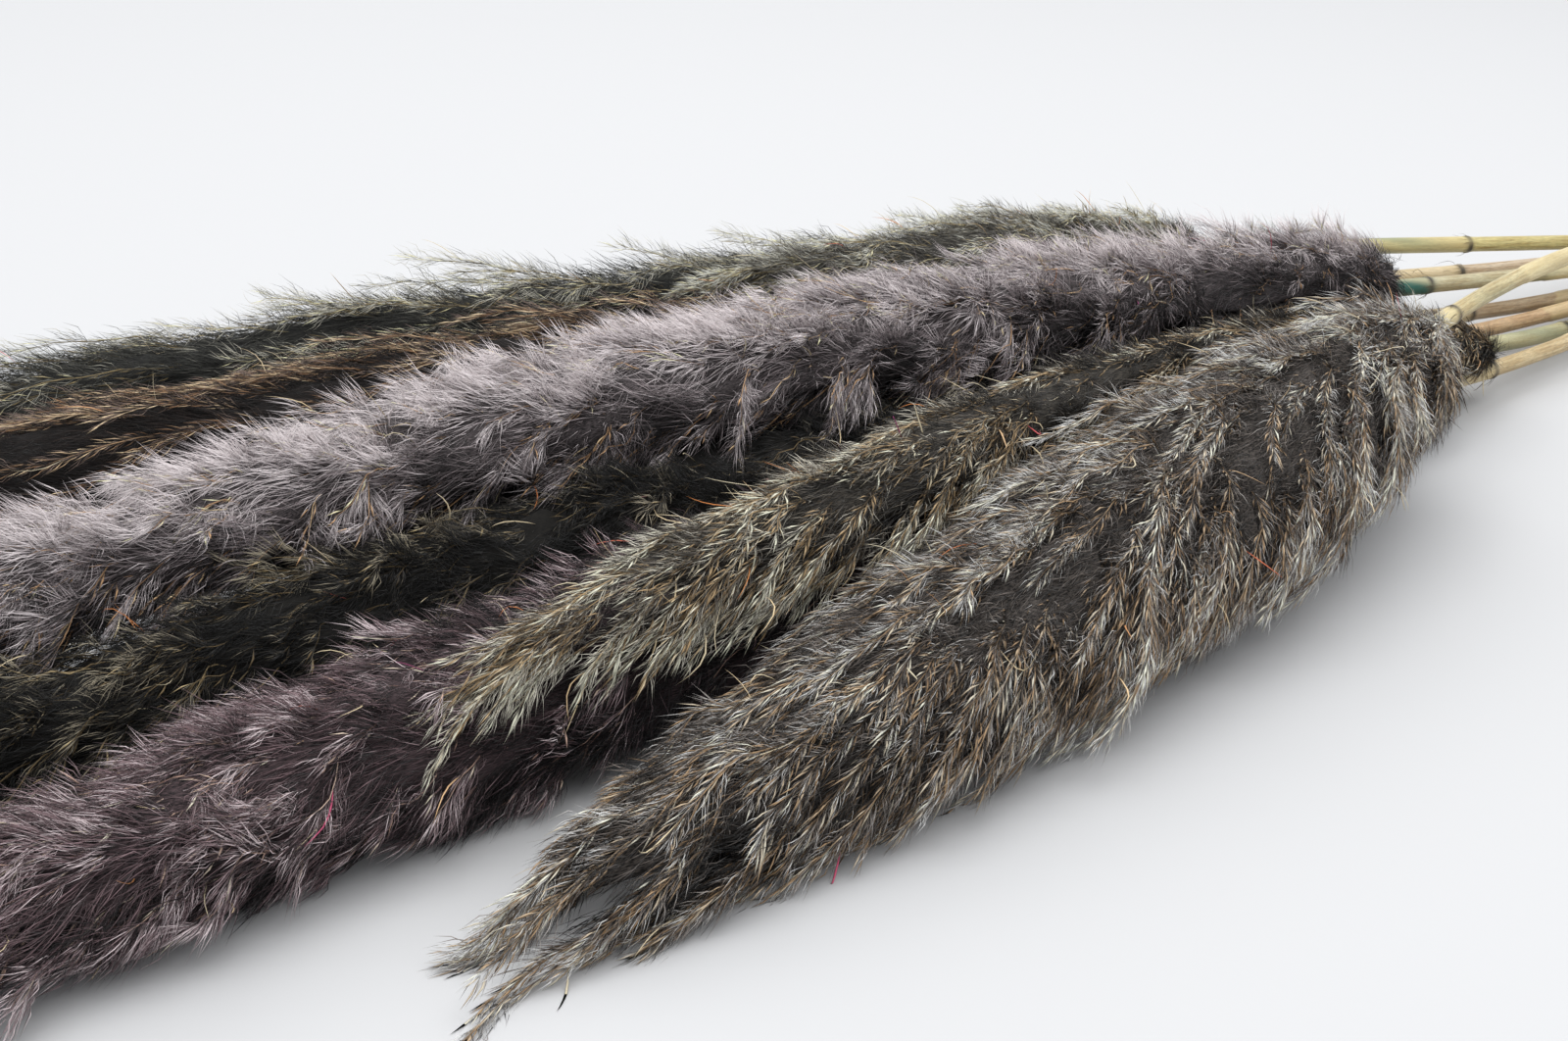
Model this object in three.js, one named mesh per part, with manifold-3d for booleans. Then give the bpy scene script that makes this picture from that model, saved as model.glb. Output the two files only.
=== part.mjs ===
// A bundle of dried pampas grass lying on a flat surface: eight stalks, each a long woody
// stem with one feathery plume, tied near the cut ends and fanned out at the plumes.
//
// Frame while building: the tie is at x = 0, the plumes run towards -X and fan out in Y,
// the cut ends point to +X, +Z is up and the surface is z = 0. At the end the whole bundle
// moves so that the centre of its footprint is the origin.

import * as THREE from 'three';
import { mergeVertices } from 'three/addons/utils/BufferGeometryUtils.js';
import Module from 'manifold-3d';

const wasm = await Module();
wasm.setup();

// ---- Driving dimensions, millimetres ----

const STEM_DIAMETER = 7.6;
const STEM_SPACING = 0.7; // clear gap between neighbouring stems inside the tie
const TAIL_LENGTH = 90; // from the tie's middle to the longest cut end
const TAIL_STRAIGHT = 20; // how far a stem runs straight before it bends towards its plume
const STEM_TO_PLUME_GAP = 0.5; // clear gap between a stem's end and its plume's base
const PLUME_CLEARANCE = 0.6; // clear gap where a plume lies against a plume or a stem

const TIE_WIDTH = 20; // along the stems
const TIE_THICKNESS = 2.4;
const TIE_CLEARANCE = 0.4; // between the outermost stems and the inside of the tie

// ---- Overall proportions: 1 is the bundle as it lies ----

const LENGTH_SCALE = 1; // stretches the stalks between the tie and the plume tips
const SPREAD_SCALE = 1; // opens or closes the fan
const GIRTH_SCALE = 1; // fattens or slims every plume

// ---- Shape of a stalk ----

const NECK_STIFFNESS = 0.2; // share of a stem's bend that keeps the tie's direction
const PLUME_STIFFNESS = 0.4; // share of a stem's bend that keeps its plume's direction
const BASE_GIRTH = 0.6; // girth at a plume's base, as a share of its fattest girth
const TIP_GIRTH = 0.1; // girth at a plume's tip
const FATTEST_AT = 0.34; // where a plume is fattest: 0 is the base and 1 is the tip
const TIP_FULLNESS = 0.8; // smaller keeps the plume full for longer before it tapers

// ---- Mesh resolution ----

const STEM_SIDES = 10;
const STEM_STEPS = 18;
const PLUME_SIDES = 14;
const PLUME_RINGS = 16;
const TIE_ARC_STEPS = 24;

// ---- The stalks, in the order in which they settle on each other ----
//
// slot:   place in the tie, [column, row]; row 0 is the lowest
// base:   where the plume starts, [x, y, z] of its core, y and z counted from the slot
// tip:    where the plume ends, [x, y, z] of its core
// bow:    how far the middle of the plume curves away from a straight line, [y, z]
// width:  full width of the plume at its fattest
// height: full height of the plume at its fattest
// cut:    how much shorter than the longest tail this stem is cut
// colour: the dyed plume's overall colour

const STALKS = [
  {
    name: 'front', slot: [1, 2], base: [-480, -107.3, 36.1], tip: [-950, -190, 10],
    bow: [-7, 3], width: 105, height: 72, cut: 10, colour: 0x6b6358,
  },
  {
    name: 'left', slot: [-1.5, 1], base: [-400, -47.55, 2.1], tip: [-1195, -133, 14],
    bow: [8, 13], width: 92, height: 62, cut: 0, colour: 0x5f555c,
  },
  {
    name: 'shaded', slot: [0, 0], base: [-370, -22, 13.4], tip: [-1139, -20, 12],
    bow: [0, 15], width: 85, height: 63, cut: 15, colour: 0x47443f,
  },
  {
    name: 'brown', slot: [1, 0], base: [-370, 1.7, 15.4], tip: [-1165, 198, 14],
    bow: [0, 17], width: 88, height: 76, cut: 7, colour: 0x4a3b32,
  },
  {
    name: 'top', slot: [1.5, 1], base: [-425, 52.55, 39.1], tip: [-680, 95, 73],
    bow: [0, 2], width: 51, height: 37, cut: 8, colour: 0x4f5148,
  },
  {
    name: 'far', slot: [0.5, 1], base: [-366, 33.85, 19.1], tip: [-1155, 276, 14],
    bow: [0, 12], width: 85, height: 82, cut: 19, colour: 0x3d423d,
  },
  {
    name: 'slender', slot: [-1, 0], base: [-361, -35.7, 15.4], tip: [-922, -126, 55],
    bow: [0, 17], width: 63, height: 46, cut: 4, colour: 0x7b7564,
  },
  {
    name: 'silky', slot: [-0.5, 1], base: [-374, 1.15, 27.1], tip: [-1165, 28, 22],
    bow: [0, 26], width: 92, height: 66, cut: 13, colour: 0x70676c,
  },
];

// ---- Shared helpers ----

const STEM_RADIUS = STEM_DIAMETER / 2;
const SLOT_PITCH = STEM_DIAMETER + STEM_SPACING;
const UP = new THREE.Vector3(0, 0, 1);
const ALONG = new THREE.Vector3(1, 0, 0);

function circlePoints(count, radius, centre) {
  return Array.from({ length: count }, (_, step) => {
    const angle = (2 * Math.PI * step) / count;
    return new THREE.Vector2(
      centre.x + radius * Math.cos(angle), centre.y + radius * Math.sin(angle),
    );
  });
}

function toSolid(geometry) {
  geometry.deleteAttribute('normal');
  geometry.deleteAttribute('uv');
  const merged = mergeVertices(geometry);
  return new wasm.Manifold(new wasm.Mesh({
    numProp: 3,
    vertProperties: new Float32Array(merged.attributes.position.array),
    triVerts: new Uint32Array(merged.index.array),
  }));
}

function toGeometry(solid) {
  const mesh = solid.getMesh();
  const geometry = new THREE.BufferGeometry();
  geometry.setAttribute('position', new THREE.BufferAttribute(mesh.vertProperties, 3));
  geometry.setIndex(new THREE.BufferAttribute(mesh.triVerts, 1));
  geometry.computeVertexNormals();
  return geometry;
}

function biggestBody(solid) {
  return solid.decompose().sort((a, b) => b.volume() - a.volume())[0];
}

// ---- Stems ----

function slotCentre([column, row]) {
  const lowest = TIE_THICKNESS + TIE_CLEARANCE + STEM_RADIUS;
  return new THREE.Vector3(0, column * SLOT_PITCH, lowest + row * SLOT_PITCH);
}

function plumeAxis(stalk) {
  const scale = new THREE.Vector3(LENGTH_SCALE, SPREAD_SCALE, 1);
  const base = new THREE.Vector3(...stalk.base).multiply(scale).add(slotCentre(stalk.slot));
  const tip = new THREE.Vector3(...stalk.tip).multiply(scale);
  const [bowSideways, bowUp] = stalk.bow;
  const control = base.clone().lerp(tip, 0.5);
  control.y += 2 * bowSideways;
  control.z += 2 * bowUp;
  return new THREE.QuadraticBezierCurve3(base, control, tip);
}

// The stem runs straight through the tie and then bends gently into its plume's axis.
function stemPath(stalk) {
  const slot = slotCentre(stalk.slot);
  const cutEnd = slot.clone().setX(TAIL_LENGTH - stalk.cut);
  const bendStart = slot.clone().setX(-TAIL_STRAIGHT);
  const axis = plumeAxis(stalk);
  const outward = axis.getTangent(0);
  const end = axis.getPoint(0).addScaledVector(outward, -STEM_TO_PLUME_GAP);
  const distance = bendStart.distanceTo(end);
  const path = new THREE.CurvePath();
  path.add(new THREE.LineCurve3(cutEnd, bendStart));
  path.add(new THREE.CubicBezierCurve3(
    bendStart,
    bendStart.clone().addScaledVector(ALONG, -NECK_STIFFNESS * distance),
    end.clone().addScaledVector(outward, -PLUME_STIFFNESS * distance),
    end,
  ));
  return path;
}

function stemGeometry(stalk, radius) {
  const section = new THREE.Shape(circlePoints(STEM_SIDES, radius, new THREE.Vector2()));
  return new THREE.ExtrudeGeometry(section, {
    steps: STEM_STEPS, extrudePath: stemPath(stalk), bevelEnabled: false,
  });
}

// ---- Plumes ----

// Share of the full girth at a place along the plume: 0 is the base and 1 is the tip.
function girth(along) {
  if (along < FATTEST_AT) {
    const rise = Math.sin((along / FATTEST_AT) * (Math.PI / 2));
    return BASE_GIRTH + (1 - BASE_GIRTH) * rise;
  }
  const fall = (along - FATTEST_AT) / (1 - FATTEST_AT);
  return TIP_GIRTH + (1 - TIP_GIRTH) * (1 - fall ** 2) ** TIP_FULLNESS;
}

// How a ring moves along the axis when the body grows: only the two end rings do.
function endShift(ring) {
  if (ring === 0) {
    return -1;
  }
  return ring === PLUME_RINGS - 1 ? 1 : 0;
}

// One oval ring of points. What would pass below the surface is pressed flat onto it.
function plumeRing(stalk, axis, ring, grow) {
  const along = ring / (PLUME_RINGS - 1);
  const tangent = axis.getTangent(along);
  const centre = axis.getPoint(along).addScaledVector(tangent, endShift(ring) * grow);
  const side = tangent.cross(UP).normalize();
  const halfWidth = (stalk.width / 2) * GIRTH_SCALE * girth(along) + grow;
  const halfHeight = (stalk.height / 2) * GIRTH_SCALE * girth(along) + grow;
  return circlePoints(PLUME_SIDES, 1, new THREE.Vector2()).map((unit) => {
    const point = centre.clone()
      .addScaledVector(side, halfWidth * unit.x)
      .addScaledVector(UP, halfHeight * unit.y);
    point.z = Math.max(point.z, 0);
    return point;
  });
}

// A closed skin over rings of points, with a flat fan of triangles at each end.
function loftGeometry(rings) {
  const sides = rings[0].length;
  const indices = [];
  for (let ring = 0; ring < rings.length - 1; ring += 1) {
    const here = ring * sides;
    const there = here + sides;
    for (let step = 0; step < sides; step += 1) {
      const next = (step + 1) % sides;
      indices.push(here + step, there + step, here + next);
      indices.push(here + next, there + step, there + next);
    }
  }
  const lastRing = (rings.length - 1) * sides;
  for (let step = 1; step < sides - 1; step += 1) {
    indices.push(0, step, step + 1);
    indices.push(lastRing, lastRing + step + 1, lastRing + step);
  }
  const geometry = new THREE.BufferGeometry().setFromPoints(rings.flat());
  geometry.setIndex(indices);
  return geometry;
}

// A tapering body round the plume's axis, grown on all sides by the given distance.
function plumeGeometry(stalk, grow) {
  const axis = plumeAxis(stalk);
  const rings = Array.from({ length: PLUME_RINGS }, (_, ring) => (
    plumeRing(stalk, axis, ring, grow)
  ));
  return loftGeometry(rings);
}

// A plume gives way to every stem and to every plume that settled before it.
function settledPlume(index) {
  let body = toSolid(plumeGeometry(STALKS[index], 0));
  STALKS.forEach((stalk, other) => {
    body = body.subtract(toSolid(stemGeometry(stalk, STEM_RADIUS + PLUME_CLEARANCE)));
    if (other < index) {
      body = body.subtract(toSolid(plumeGeometry(stalk, PLUME_CLEARANCE)));
    }
  });
  return toGeometry(biggestBody(body));
}

// ---- Tie ----

// Half of a convex outline: walks the points in order and drops every inward corner.
function outlineHalf(ordered) {
  const kept = [];
  for (const point of ordered) {
    while (kept.length > 1) {
      const [before, last] = kept.slice(-2);
      const turn = last.clone().sub(before).cross(point.clone().sub(last));
      if (turn > 0) {
        break;
      }
      kept.pop();
    }
    kept.push(point);
  }
  return kept.slice(0, -1);
}

// Convex outline round the stems in the tie, in the Y-Z section, kept this far off them.
function tieOutline(offset) {
  const points = STALKS.flatMap((stalk) => {
    const centre = slotCentre(stalk.slot);
    const centreInSection = new THREE.Vector2(centre.y, centre.z);
    return circlePoints(TIE_ARC_STEPS, STEM_RADIUS + offset, centreInSection);
  });
  points.sort((a, b) => a.x - b.x || a.y - b.y);
  return [...outlineHalf(points), ...outlineHalf([...points].reverse())];
}

function tieGeometry() {
  const band = new THREE.Shape(tieOutline(TIE_CLEARANCE + TIE_THICKNESS));
  band.holes.push(new THREE.Path(tieOutline(TIE_CLEARANCE)));
  const geometry = new THREE.ExtrudeGeometry(band, { depth: TIE_WIDTH, bevelEnabled: false });
  const sectionToBundle = new THREE.Matrix4().makeBasis(new THREE.Vector3(0, 1, 0), UP, ALONG);
  return geometry.applyMatrix4(sectionToBundle).translate(-TIE_WIDTH / 2, 0, 0);
}

// ---- The bundle ----

function material(colour, roughness) {
  return new THREE.MeshStandardMaterial({ color: colour, roughness, metalness: 0 });
}

const straw = material(0xc9b98a, 0.6);
const jute = material(0x9a7b52, 0.9);
const bundle = new THREE.Group();

function addPiece(name, geometry, finish) {
  const mesh = new THREE.Mesh(geometry, finish);
  mesh.name = name;
  bundle.add(mesh);
}

STALKS.forEach((stalk, index) => {
  addPiece(`stem_${stalk.name}`, stemGeometry(stalk, STEM_RADIUS), straw);
  addPiece(`plume_${stalk.name}`, settledPlume(index), material(stalk.colour, 0.95));
});
addPiece('tie', tieGeometry(), jute);

const box = new THREE.Box3().setFromObject(bundle);
const middle = box.getCenter(new THREE.Vector3());
bundle.position.set(-middle.x, -middle.y, -box.min.z);

export default bundle;
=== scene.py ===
"""A bundle of dyed, dried pampas grass lying on a pale floor.

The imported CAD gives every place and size: each plume is grown inside its CAD solid, each stem
follows its CAD rod, and the twine follows the CAD band. Lengths are in metres unless a name
or a note says mm, and colours are display (sRGB) values. A plume runs from its base (place 0)
to its tip (place 1), and an angle round a plume or a stem is 0 on its +Y side.
"""

import math

import bpy
import numpy as np
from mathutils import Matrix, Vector
from mathutils.bvhtree import BVHTree


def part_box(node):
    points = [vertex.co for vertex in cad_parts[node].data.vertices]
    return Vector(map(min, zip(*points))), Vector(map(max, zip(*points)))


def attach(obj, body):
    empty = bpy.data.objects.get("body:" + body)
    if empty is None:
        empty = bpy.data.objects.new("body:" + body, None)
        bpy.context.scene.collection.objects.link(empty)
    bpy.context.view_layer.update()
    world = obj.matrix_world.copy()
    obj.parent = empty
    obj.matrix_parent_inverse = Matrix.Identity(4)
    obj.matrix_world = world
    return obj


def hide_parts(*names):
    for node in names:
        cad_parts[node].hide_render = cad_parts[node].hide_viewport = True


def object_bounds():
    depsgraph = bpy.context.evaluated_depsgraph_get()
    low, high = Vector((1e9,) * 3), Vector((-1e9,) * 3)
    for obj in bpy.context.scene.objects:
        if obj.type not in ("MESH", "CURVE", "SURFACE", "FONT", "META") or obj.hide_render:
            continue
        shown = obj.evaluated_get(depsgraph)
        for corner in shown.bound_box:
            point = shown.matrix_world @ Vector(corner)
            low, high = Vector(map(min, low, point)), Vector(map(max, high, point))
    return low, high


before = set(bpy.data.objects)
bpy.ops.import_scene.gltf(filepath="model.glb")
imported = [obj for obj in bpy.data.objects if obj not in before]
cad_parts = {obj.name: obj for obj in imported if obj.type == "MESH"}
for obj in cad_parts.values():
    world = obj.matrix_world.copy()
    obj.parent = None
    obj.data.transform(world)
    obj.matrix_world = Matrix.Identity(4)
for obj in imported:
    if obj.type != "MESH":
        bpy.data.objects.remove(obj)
cad_low, cad_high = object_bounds()

MM = 0.001
CM2_PER_M2 = 10_000
FULL_TURN = 2 * math.pi
WHITE = (255, 255, 255)

# ---- Random draws: one number for the whole scene, and one for each kind of draw ----

SEED = 7
STEM_SEED = 100
TWINE_SEED = 200
SWIRL_SEED = 31
LOCK_SEED = 57

# ---- Camera: where it stands from the tie, and how it looks ----

CAMERA_FROM_TIE = (-1.1763, -0.6116)
CAMERA_HEIGHT = 0.3188
CAMERA_PITCH_DOWN = 22.0
CAMERA_TURN = -37.0
CAMERA_LENS = 50.0  # mm
SENSOR_WIDTH = 36  # mm

# ---- Stage ----

FLOOR_HALF = 40.0
FLOOR_COLOUR = (0.495, 0.497, 0.50)  # linear
WORLD_COLOUR = (0.95, 0.965, 1.0)  # linear
WORLD_STRENGTH = 0.95
LIGHTS = {  # place, what it is aimed at, diameter, watts
    "softbox": ((-0.1, -0.45, 2.4), (-0.1, 0, 0), 3.4, 68),
    "back light": ((0.6, 2.2, 2.2), (0.3, 0.6, 0), 2.4, 26),
}

# ---- Where hair may go ----

PROUD = np.array([20, 11, 7]) * MM  # past the CAD box, on each side
BELOW_FLOOR = -0.5  # strands are lifted to the floor later, so none is dropped for being low
FLOOR_CLEARANCE = 0.3 * MM

# ---- Reading a CAD solid ----

STATIONS = 40
ROUND_STEPS = 36
HEIGHTS_PROBED = 15
SIDES_PROBED = 9
PROBE_REACH = 200 * MM
PROBE_START = 50 * MM
CLEAR_REACH = 150 * MM
SKIN_CLEARANCE = 4 * MM

# ---- Plume anatomy; along a plume, lengths are shares of its own length ----

CORE_SHARE = 0.74  # the matted inside, as a share of the plume's girth
CORE_ROWS, CORE_COLUMNS = 60, 28
CORE_CLOSING = 0.25  # length over which the core closes at its tip
BASE_ROUNDING = 0.07  # length over which the base rounds off
TASSEL_POINTS = 12
TASSEL_START = 0.6  # how far out a side branch starts, as a share of where it lies later
TASSEL_CLEARANCE = 1.2 * MM  # above the floor
CORE_CLEARANCE = 1.5 * MM  # above the floor
TIP_SPREAD = 0.45  # how fast side branches part beyond the tip
FORK_START = 0.8  # where the plume's two halves begin to part
HAIR_RADIUS = (0.08, 0.18)  # mm
FUR_RADIUS = (0.12, 0.2)  # mm
FUR_PER_CM2 = 26
GLUME_RADIUS = (0.28, 0.55)  # mm
GLUME_SPLAY = (16, 36)  # degrees
STRAYS = 100  # per plume
STRAY_LENGTH = (12, 26)  # mm
STRAY_RADIUS = (0.2, 0.45)  # mm
STRAY_SPLAY = (15, 70)  # degrees
BRANCH_RADIUS = 0.3  # mm
FLAT = 0.4  # thickness of a scale or a scrap of straw, as a share of its width
MOST_FACES = 185_000  # per piece

# ---- Tone of hair: 0 is the dark colour of a look, 1 the light one ----

HAIR_TONE_SPREAD = 0.3
FUR_TONE_SPREAD = 0.15
GLUME_TONE_SPREAD = 0.25
GLUME_LOCK_SHARE = 0.8  # how far glumes share the tone of the hair round them
FADE_LENGTH = 0.2  # length over which a plume's tone changes
LOCK_SIZE = (12, 40)  # mm, of the locks in which hairs turn and change tone together
LOCK_CONTRAST = 0.2  # between neighbouring locks
TIP_CONTRAST = 0.45  # from a side branch's root to its tip
# painted shade: hair deep inside a plume is painted darker, and hair at its skin lighter
PAINTED_DEPTH_SHADE = 1.0  # from the inside of the plume out to the skin
SKIN_DEPTH = 0.85  # the depth that counts as neither inside nor outside
HAIR_GAIN = 1.5  # hair shades itself, so its own colour is brighter than the plume looks
STRAND_ROUGHNESS = 0.55
# painted shade: glumes are painted darker at their roots, down among the hair
CHAFF_ROOT = 130  # grey level (0 to 255) that darkens a glume's colour at its root

# ---- Looks of the eight plumes ----
#
# Where two values are given, they are for the base and for the tip of the plume.
#
# tassels: how many side branches
# tassel: length of a side branch, mm
# droop: how far a side branch sinks round the plume, degrees
# sweep: share of a side branch's length that runs along the plume
# rise: share of a side branch's length over which it climbs out of the plume
# reach: how far out side branches lie, as a share of the plume's girth
# loose: how much that varies
# wave: how far side branches snake, mm
# sag: how far the ends of side branches hang, mm
# fork: how far the plume's two halves part at the tip, mm
# core_end: the place where the matted inside stops
# step: distance between spikelets along a side branch, mm
# glumes: chaffy scales per spikelet; glume: their length, mm
# hairs: hairs per spikelet; hair: their length, mm; splay: their angle off the branch
# comb: how far hairs turn back along their branch
# mottle: how much branches, and whole patches, differ in tone
# flare: how far the ends of side branches stand out of the skin, mm
# under: tone of the short hair between the side branches, mostly kept dark as painted shade in
# the gaps
# fade: how much lighter the hair is at the base and at the tip, and the place between (on the
# left and shaded plumes, painted shade)
# swirl: how far neighbouring hairs turn together off their course
# painted_top_light: painted light and shade, how much lighter the hair is painted on top than on
# the sides
# root: grey level (0 to 255) that darkens a hair's colour at its root, as painted shade in the
# gaps between the locks
# down: dark, middle and light colour of the hair
# chaff: dark, middle and light colour of the glumes

LOOKS = {
    "front": dict(
        tassels=680, tassel=(88, 60), droop=(75, 12), sweep=(0.45, 0.95),
        rise=0.45, reach=0.83, loose=0.09, wave=2.0, sag=6, fork=3,
        core_end=0.93, step=3.2, glumes=2, glume=10.5,
        hairs=7, hair=12.5, splay=33, comb=0.35, mottle=(0.09, 0.07),
        flare=2, under=0.08, fade=(0.02, -0.04, 0.6), swirl=0.22,
        painted_top_light=0.2, root=30, down=((14, 12, 11), (124, 115, 108), (220, 210, 201)),
        chaff=((52, 39, 28), (156, 130, 100), (236, 216, 188)),
    ),
    # painted shade: the left plume's base is painted dark where the slender and front plumes
    # shade it
    "left": dict(
        tassels=520, tassel=(58, 50), droop=(28, 14), sweep=(0.8, 0.96),
        rise=0.9, reach=0.74, loose=0.08, wave=4.0, sag=2, fork=0,
        core_end=0.97, step=3.0, glumes=0.25, glume=9,
        hairs=9, hair=17, splay=27, comb=0.5, mottle=(0.14, 0.14),
        flare=4, under=0.2, fade=(-1.1, 0.14, 0.53), swirl=0.35,
        painted_top_light=0.2, root=70, down=((8, 6, 7), (116, 95, 98), (214, 190, 191)),
        chaff=((104, 78, 70), (176, 148, 132), (218, 198, 178)),
    ),
    # painted shade: this plume's dark colours and dark base are partly painted shade from the
    # silky plume lying over it
    "shaded": dict(
        tassels=460, tassel=(58, 46), droop=(26, 14), sweep=(0.8, 0.96),
        rise=0.9, reach=0.88, loose=0.08, wave=3.5, sag=8, fork=0,
        core_end=0.97, step=3.2, glumes=0.4, glume=9,
        hairs=8, hair=14, splay=25, comb=0.45, mottle=(0.25, 0.2),
        flare=5, under=0.08, fade=(-0.6, -0.08, 0.7), swirl=0.35,
        painted_top_light=0.2, root=20, down=((4, 4, 3), (48, 44, 38), (156, 147, 127)),
        chaff=((40, 33, 22), (104, 88, 62), (176, 158, 120)),
    ),
    "brown": dict(
        tassels=330, tassel=(80, 60), droop=(24, 10), sweep=(0.82, 0.97),
        rise=0.6, reach=0.9, loose=0.08, wave=2.0, sag=6, fork=0,
        core_end=0.97, step=3.4, glumes=2, glume=10,
        hairs=5, hair=12, splay=38, comb=0.4, mottle=(0.18, 0.2),
        flare=3, under=0.15, fade=(-0.1, -0.05, 0.5), swirl=0.2,
        painted_top_light=0.1, root=30, down=((10, 7, 6), (46, 37, 33), (128, 110, 100)),
        chaff=((36, 24, 16), (122, 92, 66), (206, 182, 148)),
    ),
    "top": dict(
        tassels=150, tassel=(60, 45), droop=(18, 8), sweep=(0.85, 0.95),
        rise=0.7, reach=0.98, loose=0.14, wave=2.5, sag=5, fork=0,
        core_end=0.9, step=3.4, glumes=0.9, glume=9,
        hairs=7, hair=12, splay=32, comb=0.35, mottle=(0.2, 0.15),
        flare=4, under=0.3, fade=(-0.05, 0.05, 0.5), swirl=0.25,
        painted_top_light=0.1, root=60, down=((22, 22, 20), (110, 106, 97), (212, 208, 192)),
        chaff=((96, 86, 60), (162, 146, 110), (212, 198, 162)),
    ),
    "far": dict(
        tassels=320, tassel=(90, 70), droop=(20, 8), sweep=(0.85, 0.94),
        rise=0.7, reach=0.94, loose=0.12, wave=2.5, sag=6, fork=0,
        core_end=0.95, step=3.2, glumes=0.9, glume=10,
        hairs=7, hair=15, splay=42, comb=0.35, mottle=(0.22, 0.2),
        flare=5, under=0.25, fade=(-0.05, 0.0, 0.5), swirl=0.25,
        painted_top_light=0.15, root=60, down=((12, 12, 11), (60, 60, 55), (178, 175, 161)),
        chaff=((54, 46, 32), (134, 118, 84), (214, 200, 162)),
    ),
    "slender": dict(
        tassels=330, tassel=(62, 42), droop=(34, 14), sweep=(0.75, 0.95),
        rise=0.5, reach=0.98, loose=0.09, wave=1.5, sag=10, fork=0,
        core_end=0.9, step=3.2, glumes=1.8, glume=10.5,
        hairs=5, hair=12, splay=32, comb=0.35, mottle=(0.1, 0.1),
        flare=2, under=0.1, fade=(-0.45, 0.1, 0.5), swirl=0.25,
        painted_top_light=0.1, root=30, down=((12, 10, 8), (112, 105, 95), (208, 199, 185)),
        chaff=((66, 52, 36), (158, 134, 100), (236, 218, 184)),
    ),
    "silky": dict(
        tassels=700, tassel=(54, 48), droop=(22, 22), sweep=(0.8, 0.95),
        rise=0.95, reach=0.86, loose=0.1, wave=4.5, sag=8, fork=0,
        core_end=0.97, step=2.9, glumes=0.3, glume=9,
        hairs=10, hair=18, splay=28, comb=0.45, mottle=(0.12, 0.16),
        flare=7, under=0.4, fade=(-0.08, 0.1, 0.35), swirl=0.4,
        painted_top_light=1.0, root=110, down=((10, 8, 8), (122, 112, 113), (206, 195, 195)),
        chaff=((120, 88, 60), (188, 152, 114), (226, 200, 164)),
    ),
}


# ---- Stems ----
#
# colour: of the dry straw
# node: distance of the first node from the plume's base, mm
# stains: teal dye, as (from, to, strength) along the stem from the plume's base, mm

STEMS = {
    "front": dict(colour=(206, 192, 148), node=45, stains=((60, 110, 0.2),)),
    "left": dict(colour=(208, 188, 146), node=39, stains=((0, 14, 0.4),)),
    "shaded": dict(colour=(202, 172, 134), node=24, stains=()),
    "brown": dict(colour=(180, 160, 130), node=70, stains=()),
    "top": dict(colour=(204, 192, 132), node=12, stains=((36, 150, 0.6),)),
    "far": dict(colour=(196, 178, 152), node=84, stains=()),
    "slender": dict(colour=(184, 184, 146), node=96, stains=((10, 100, 0.4),)),
    "silky": dict(colour=(194, 186, 152), node=33, stains=((2, 34, 1.2), (110, 130, 0.4))),
}

STEM_RADIUS = 3.8 * MM
STEM_SIDES = 20
STEM_RING_GAP = 1.4 * MM
STEM_INTO_PLUME = 30 * MM
INTERNODE = 150 * MM
NODE_SWELLING = 0.45 * MM
NODE_SWELLING_WIDTH = 2.5 * MM
NODE_RING_WIDTH = 1.9 * MM
SHEATH_THICKNESS = 0.3 * MM
SHEATH_LENGTH = 85 * MM
SHEATH_EDGE = 0.25 * MM
WISPS_PER_NODE = 16
WISP_LENGTH = (4, 15)  # mm
WISP_RADIUS = (0.1, 0.3)  # mm
WISP_COLOURS = ((24, 20, 18), (92, 74, 50), (190, 170, 120))
SHEATH_TINT = (214, 198, 150)
SHEATH_TINTING = 0.35
STAIN_TINT = (28, 86, 74)
NODE_TINT = (34, 27, 22)

# ---- Twine ----

TIE_STEPS = 120  # round the CAD band
TWINE_TURNS = 7
TWINE_RADIUS = 1.3 * MM
TWINE_PLIES = 2
TWINE_SIDES = 8  # of one ply
TWINE_LAY = 6 * MM  # length of one twist of the plies
TWINE_RING_GAP = 0.7 * MM
TWINE_TUCK = math.radians(50)  # over which an end goes under
TWINE_FIBRES = 500
FIBRE_LENGTH = (2, 6)  # mm
FIBRE_RADIUS = 0.06 * MM
FIBRE_COLOURS = ((110, 84, 50), (156, 126, 84), (196, 168, 122))


# ---- Small mathematics ----

def lerp(a, b, share):
    return a + (b - a) * share


def unit(vectors):
    length = np.linalg.norm(vectors, axis=-1, keepdims=True)
    return vectors / np.maximum(length, 1e-9)


def bell(distance, centre, width):
    return np.exp(-(((distance - centre) / width) ** 2))


def to_linear(colour, gain=1.0):
    """Linear values of a display colour, kept below those of fresh snow."""
    c = np.array(colour) / 255.0
    linear = np.where(c <= 0.04045, c / 12.92, ((c + 0.055) / 1.055) ** 2.4)
    return tuple(np.minimum(linear * gain, 0.9))


def smooth_noise(rng, places, count):
    """A soft random line through places (0 to 1), one row per count, roughly -1 to 1."""
    total = np.zeros((count, len(places)))
    for wave in (1, 2, 3):
        phase = rng.uniform(0, FULL_TURN, (count, 1))
        size = rng.normal(0, 0.6 / wave, (count, 1))
        total += size * np.sin(FULL_TURN * wave * places[None, :] + phase)
    return total


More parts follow.
